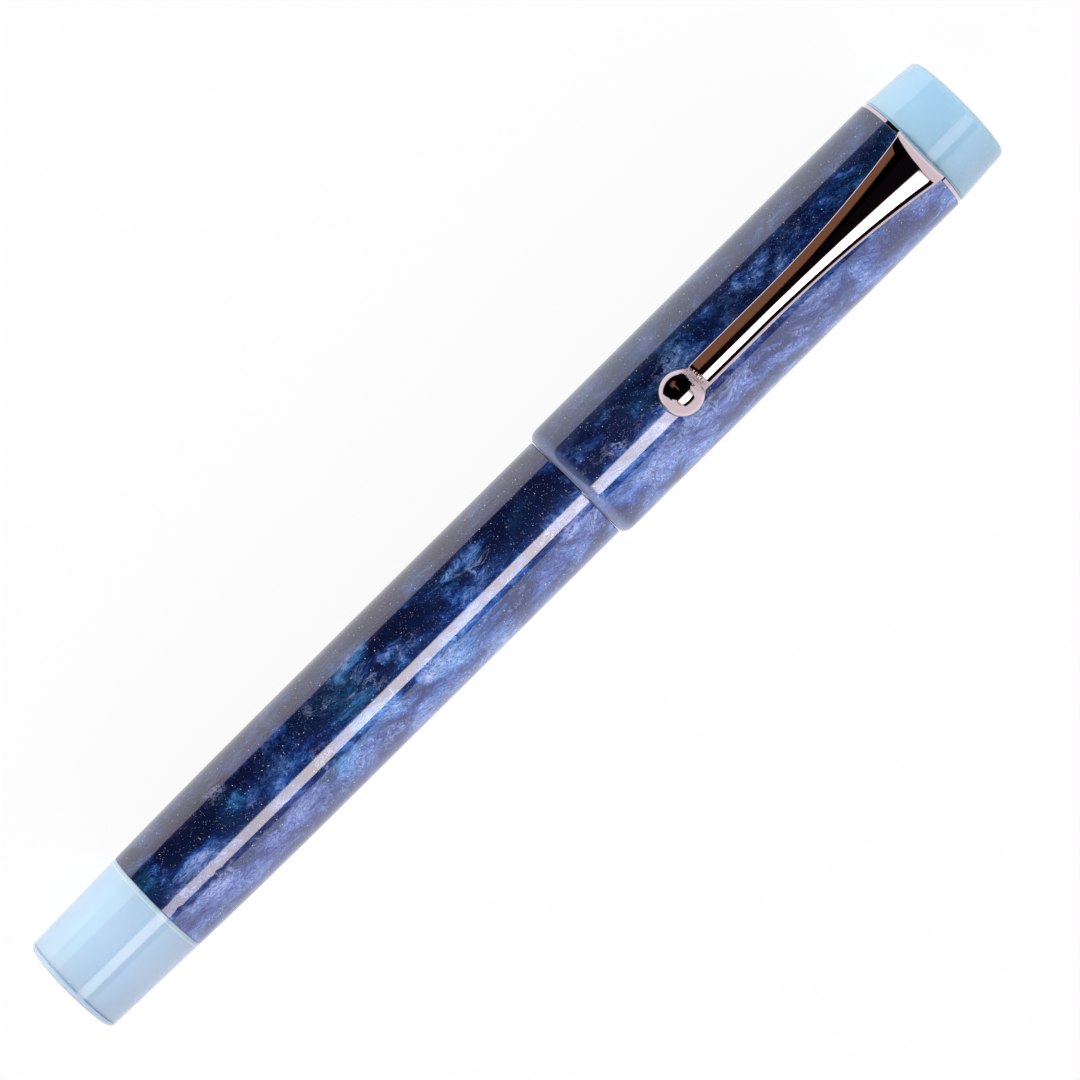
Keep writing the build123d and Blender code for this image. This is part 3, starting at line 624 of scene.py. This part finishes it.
def arm_outline(half):
    """The sheet's cross-section with rounded edges: across, and depth below its top."""
    quarter = [math.radians(90 * i / 5) for i in range(6)]
    flat = half - ARM_EDGE
    side = [(flat * i / 12, 0) for i in range(12)]
    side += [(flat + ARM_EDGE * math.sin(q), ARM_EDGE * (1 - math.cos(q))) for q in quarter]
    low = ARM_THICKNESS - ARM_EDGE
    side += [(flat + ARM_EDGE * math.cos(q), low + ARM_EDGE * math.sin(q)) for q in quarter]
    side += [(flat * i / 12, ARM_THICKNESS) for i in range(11, 0, -1)]
    other = [(-y, depth) for y, depth in reversed(side[1:])]
    return side + [(0, ARM_THICKNESS)] + other


def arch_drop(x, y):
    """How far the arched sheet falls from its middle line to y: an even curve, but flatter at the root."""
    flare = min(max((x - FLARE_X) / (ARM_ROOT_X - FLARE_X), 0), 1)
    edge_angle, power = (bar + (root - bar) * flare for bar, root in zip(BAR_ARCH, ROOT_ARCH))
    half = arm_half_width(x)
    return half * math.tan(edge_angle) * min(abs(y) / half, 1) ** (power + 1) / (power + 1)


def clip_sheet():
    """The sprung sheet: a rounded tip, an arched bar that flares, a tight bend and a foot on the cap."""
    rings = []
    bend_x = ARM_ROOT_X - ARM_BEND
    bend_z = arm_top(bend_x) - ARM_BEND
    end_steps, bar_steps, bend_steps, foot_steps = 8, 90, 20, 4
    stations = [ARM_TIP_X + ARM_END_LENGTH * (i / end_steps) ** ARM_END_SPACING for i in range(end_steps)]
    bar_from = ARM_TIP_X + ARM_END_LENGTH
    stations += [bar_from + (bend_x - bar_from) * i / bar_steps for i in range(bar_steps + 1)]
    for x in stations:
        half = arm_half_width(x)
        short = min(max((bar_from - x) / ARM_END_LENGTH, 0), 1)
        round_off = math.sqrt(1 - short**2)
        width = half * (ARM_END_WIDTH + (1 - ARM_END_WIDTH) * round_off)
        fall = ARM_END_FALL * (1 - round_off)
        squeeze = ARM_END_THICKNESS + (1 - ARM_END_THICKNESS) * round_off
        rings.append(
            [(x, y, arm_top(x) - fall - arch_drop(x, y) - d * squeeze) for y, d in arm_outline(width)]
        )
    for i in range(1, bend_steps + 1):
        angle = math.pi / 2 * i / bend_steps
        x_out = bend_x + ARM_BEND * math.sin(angle)
        half = arm_half_width(x_out)
        ring = []
        for y, d in arm_outline(half):
            reach = ARM_BEND - d
            lift = reach - arch_drop(x_out, y)
            ring.append((bend_x + reach * math.sin(angle), y, bend_z + lift * math.cos(angle)))
        rings.append(ring)
    for i in range(1, foot_steps + 1):
        ring = []
        for y, d in arm_outline(ROOT_HALF):
            low = CAP_AXIS + math.sqrt((CAP_R + FOOT_LIFT) ** 2 - y**2)
            ring.append((ARM_ROOT_X - d, y, bend_z + (low - bend_z) * i / foot_steps))
        rings.append(ring)
    return ring_mesh("clip_sheet", rings)


def drop_section(u):
    """The drop's half width, half height and rise at u from the ball's middle: ball, neck, then tongue."""
    if u <= NECK_LEAVE:
        shrink = math.sqrt(1 - (u / BALL_R) ** 2)
        return BALL_R * shrink, BALL_HALF_HEIGHT * shrink, 0
    if u > NECK_ARRIVE:
        v = (u - NECK_ARRIVE) / (NECK_END - NECK_ARRIVE)
        return NECK_WIDTH - NECK_NARROWS * v, NECK_DEPTH - NECK_THINS * v, NECK_RISE
    wide, high, _ = drop_section(NECK_LEAVE)
    neck = NECK_ARRIVE - NECK_LEAVE
    v = (u - NECK_LEAVE) / neck
    wide_slope, high_slope = (slope * neck for slope in NECK_SLOPES)
    squash = (BALL_HALF_HEIGHT / BALL_R) ** 2
    return (
        hermite(v, wide, NECK_WIDTH, -NECK_LEAVE / wide * neck, wide_slope),
        hermite(v, high, NECK_DEPTH, -NECK_LEAVE / high * squash * neck, high_slope),
        hermite(v, 0, NECK_RISE, 0, 0),
    )


def clip_drop():
    """The flattened ball, drawn out into a neck that runs in under the arm's tip."""
    ball_steps, side_steps, neck_steps, tongue_steps = 24, 16, 16, 5
    swing = 90 - BALL_POLE_DEGREES
    turns = [math.radians(BALL_POLE_DEGREES + swing * i / ball_steps) for i in range(ball_steps)]
    places = [-BALL_R * math.cos(turn) for turn in turns]
    places += [NECK_LEAVE * i / side_steps for i in range(side_steps + 1)]
    places += [NECK_LEAVE + (NECK_ARRIVE - NECK_LEAVE) * i / neck_steps for i in range(1, neck_steps + 1)]
    places += [NECK_ARRIVE + (NECK_END - NECK_ARRIVE) * i / tongue_steps for i in range(1, tongue_steps + 1)]
    angles = [2 * math.pi * k / BALL_SEGMENTS for k in range(BALL_SEGMENTS)]
    rings = []
    for u in places:
        wide, high, rise = drop_section(u)
        rings.append([(BALL_X + u, wide * math.cos(a), BALL_Z + rise + high * math.sin(a)) for a in angles])
    return ring_mesh("clip_drop", rings)


def ring_mesh(name, rings):
    """One closed smooth mesh through rings of millimetre points, with a centre point closing each end."""
    points = [point for ring in rings for point in ring]
    around = len(rings[0])
    faces = []
    for i in range(len(rings) - 1):
        for k in range(around):
            n = (k + 1) % around
            faces.append((i * around + k, i * around + n, (i + 1) * around + n, (i + 1) * around + k))
    for ring_index, order in ((0, -1), (len(rings) - 1, 1)):
        ring = rings[ring_index]
        points.append(tuple(sum(p[axis] for p in ring) / around for axis in range(3)))
        for k in range(around):
            edge = (ring_index * around + k, ring_index * around + (k + 1) % around)
            faces.append((*edge[::order], len(points) - 1))
    mesh = bpy.data.meshes.new(name)
    mesh.from_pydata([Vector(p) * MM for p in points], [], faces)
    mesh.update()
    made = add(name, mesh)
    outward_faces(mesh)
    mesh.shade_smooth()
    return made


def outward_faces(mesh):
    work = bmesh.new()
    work.from_mesh(mesh)
    bmesh.ops.recalc_face_normals(work, faces=work.faces)
    work.to_mesh(mesh)
    work.free()


CLIP_PIECES = ((clip_sheet(), "clip_arm"), (clip_drop(), "clip_ball"))
for made, node in CLIP_PIECES:
    made.data.materials.append(MATERIALS["clip_chrome"])
    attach(made, "clip")
    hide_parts(node)


# Stage, lights and camera


def floor():
    bpy.ops.mesh.primitive_plane_add(size=FLOOR_SIZE, location=(0, 0, 0))
    made = bpy.context.object
    made.name = "floor"
    s = Shader(bpy.data.materials.new("floor_white"))
    made.data.materials.append(
        s.finish(
            Base_Color=FLOOR_COLOUR,
            Roughness=0.9,
            Specular_IOR_Level=0.0,
            Emission_Color=FLOOR_GLOW_COLOUR,
            Emission_Strength=FLOOR_GLOW,
        )
    )


def toward(tilt):
    """A direction tilted from straight up towards -Y, and a turn that faces back along it."""
    away = Vector((0, -math.sin(tilt), math.cos(tilt)))
    across = Vector((1, 0, 0))
    return away, Matrix((across, away.cross(across), away)).transposed().to_4x4()


def glowing_panel(name, half_length, near, far):
    """A flat panel that only shows in reflections, with its shader and its own x and y still to be used."""
    corners = [(-half_length, near, 0), (half_length, near, 0), (half_length, far, 0), (-half_length, far, 0)]
    mesh = bpy.data.meshes.new(name)
    mesh.from_pydata(corners, [], [(0, 1, 2, 3)])
    made = add(name, mesh)
    made.visible_camera = False
    made.visible_diffuse = False
    made.visible_shadow = False
    s = Shader(bpy.data.materials.new(name + "_glow"))
    mesh.materials.append(s.owner)
    x, y, _ = s.node("SeparateXYZ", Vector=s.node("TexCoord").outputs["Object"]).outputs
    return made, s, x, y


def emit(s, colour, strength):
    glow = s.node("Emission", Color=colour, Strength=strength)
    s.tree.links.new(glow.outputs[0], s.node("OutputMaterial").inputs[0])


def softbox():
    """A glowing panel, brightest in the middle of its length and fading softly at its ends and near edge."""
    made, s, x, y = glowing_panel("softbox", SOFTBOX_HALF_LENGTH, -SOFTBOX_FAR, -SOFTBOX_NEAR)
    away, turn = toward(SOFTBOX_TILT)
    made.matrix_world = Matrix.Translation(Vector((0, 0, AXIS_Z)) + away * SOFTBOX_DISTANCE) @ turn
    off = s.math("MULTIPLY", x, 1 / SOFTBOX_FADE)
    fade = s.math("POWER", math.e, s.math("MULTIPLY", s.math("MULTIPLY", off, off), -1.0))
    side = s.step(y, *(edge - SOFTBOX_NEAR for edge in SOFTBOX_EDGE))
    emit(s, SOFTBOX_COLOUR, s.math("MULTIPLY", s.math("MULTIPLY", fade, side), SOFTBOX_RADIANCE))


def lit_only(light, objects, name):
    """The light falls on these objects alone."""
    group = bpy.data.collections.new(name)
    for each in objects:
        group.objects.link(each)
    light.light_linking.receiver_collection = group


def wood_panel(objects):
    """Warm wood over the +Y side, reflected by the given objects alone.

    Its near edge steps back over the ball and slopes back towards the root, as its reflection does.
    """
    near, far = (depth * WOOD_HEIGHT for depth in WOOD_DEPTH)
    made, s, x, y = glowing_panel("wood_panel", WOOD_REACH * WOOD_HEIGHT, near, far)
    made.location = (0, 0, AXIS_Z + WOOD_HEIGHT)
    x = s.math("DIVIDE", x, WOOD_HEIGHT)
    y = s.math("DIVIDE", y, WOOD_HEIGHT)
    over_ball = s.math("MULTIPLY", s.step(x, *WOOD_BALL_EDGE), WOOD_BALL_SHIFT)
    past = s.math("MAXIMUM", s.math("MULTIPLY_ADD", x, WOOD_ROOT_SLOPE, -WOOD_ROOT_FROM), 0.0)
    over_root = s.math("MINIMUM", past, WOOD_ROOT_MOST)
    edge = s.math("SUBTRACT", s.math("SUBTRACT", y, WOOD_START), s.math("ADD", over_ball, over_root))
    strength = s.math("MULTIPLY", s.step(edge, *WOOD_START_BLUR), s.step(y, *WOOD_FAR_FADE))
    aside = s.math("ABSOLUTE", s.math("SUBTRACT", x, WOOD_MIDDLE))
    emit(s, WOOD_COLOUR, s.math("MULTIPLY", strength, s.step(aside, *WOOD_SIDE_FADE)))
    lit_only(made, objects, "wood_receivers")


def area_light(name, tilt, irradiance, objects):
    """A square soft light that adds no reflection of its own."""
    data = bpy.data.lights.new(name, "AREA")
    data.shape = "SQUARE"
    data.size = LIGHT_SIZE
    data.energy = irradiance * math.pi * LIGHT_DISTANCE**2
    made = add(name, data)
    away, turn = toward(tilt)
    made.matrix_world = Matrix.Translation(Vector((0, 0, AXIS_Z)) + away * LIGHT_DISTANCE) @ turn
    made.visible_camera = False
    made.visible_glossy = False
    lit_only(made, objects, name + "_receivers")


def surroundings():
    """Dark ceiling between pale walls, two small lamps, and a lilac glow low down on the pen's long sides."""
    s = Shader(bpy.data.worlds.new("studio"))
    bpy.context.scene.world = s.owner
    direction = s.node("TexCoord").outputs["Generated"]
    x, y, z = s.node("SeparateXYZ", Vector=direction).outputs

    def inside(along, from_mid, from_side):
        """1 on the ceiling's side of a wall's edge and 0 on the wall; the edge leans away towards +Y."""
        lean = s.math("MULTIPLY_ADD", z, from_mid, s.math("MULTIPLY", y, from_side))
        edge = s.math("MAXIMUM", s.math("MULTIPLY", z, WALL_NEAREST), lean)
        return s.step(s.math("ADD", along, edge), -WALL_BLUR, WALL_BLUR)

    left = inside(x, *LEFT_WALL)
    right = inside(s.math("MULTIPLY", x, -1.0), *RIGHT_WALL)
    end = s.step(s.math("MULTIPLY_ADD", z, END_WALL, y), -WALL_BLUR, WALL_BLUR)
    ceiling = s.math("MULTIPLY", s.math("MULTIPLY", left, right), end)
    lamps = 0.0
    for u, v in LAMP_DIRECTIONS:
        aim = Vector((u, v, 1)).normalized()
        facing = s.node("VectorMath", {"operation": "DOT_PRODUCT"}, i0=direction, i1=aim).outputs["Value"]
        lamps = s.math("ADD", s.step(facing, *LAMP_EDGE), lamps)
    above = s.mix(s.math("MINIMUM", lamps, 1.0), CEILING_COLOUR, (LAMP_RADIANCE,) * 3)
    facing_side = s.step(s.math("ABSOLUTE", y), *FACING_SIDE)
    glow = s.mix(facing_side, WALL_COLOUR, HORIZON_COLOUR)
    low = s.step(z, WALL_LOW_FROM, HORIZON_SINE)
    wall = s.mix(low, WALL_COLOUR, glow)
    colour = s.mix(ceiling, wall, above)
    horizon = s.step(z, HORIZON_SINE + HORIZON_BLUR, HORIZON_SINE - HORIZON_BLUR)
    colour = s.mix(horizon, colour, glow)
    background = s.node("Background", Color=colour)
    s.tree.links.new(background.outputs[0], s.node("OutputWorld").inputs[0])


def camera():
    data = bpy.data.cameras.new("camera")
    data.sensor_width = SENSOR
    data.lens = SENSOR * CAMERA_DISTANCE / FRAME_WIDTH
    data.dof.use_dof = False
    data.clip_start = 0.01
    data.clip_end = 10.0
    made = add("camera", data)
    along = Vector((1, 0, 0))
    back = Vector((0, math.sin(CAMERA_TILT), math.cos(CAMERA_TILT)))
    across = back.cross(along)
    right = along * math.cos(CAMERA_ROLL) - across * math.sin(CAMERA_ROLL)
    up = along * math.sin(CAMERA_ROLL) + across * math.cos(CAMERA_ROLL)
    aim = Vector((CAMERA_AIM_X, 0, AXIS_Z)) + across * CAMERA_AIM_SIDE
    turn = Matrix((right, up, back)).transposed().to_4x4()
    made.matrix_world = Matrix.Translation(aim + back * CAMERA_DISTANCE) @ turn
    bpy.context.scene.camera = made


PALE_NODES = [
    nodes[part["node"]] for part in frame["record"]["subparts"] if part["material_slot"] == "pale_resin"
]
OTHER_NODES = [node for node in nodes.values() if node not in PALE_NODES]

floor()
softbox()
wood_panel([made for made, node in CLIP_PIECES])
area_light("side_light", SIDE_TILT, SIDE_IRRADIANCE, OTHER_NODES)
area_light("fill_light", FILL_TILT, FILL_IRRADIANCE, OTHER_NODES)
area_light("top_light", TOP_TILT, TOP_IRRADIANCE, PALE_NODES)
surroundings()
camera()

scene = bpy.context.scene
scene.view_settings.view_transform = "Standard"
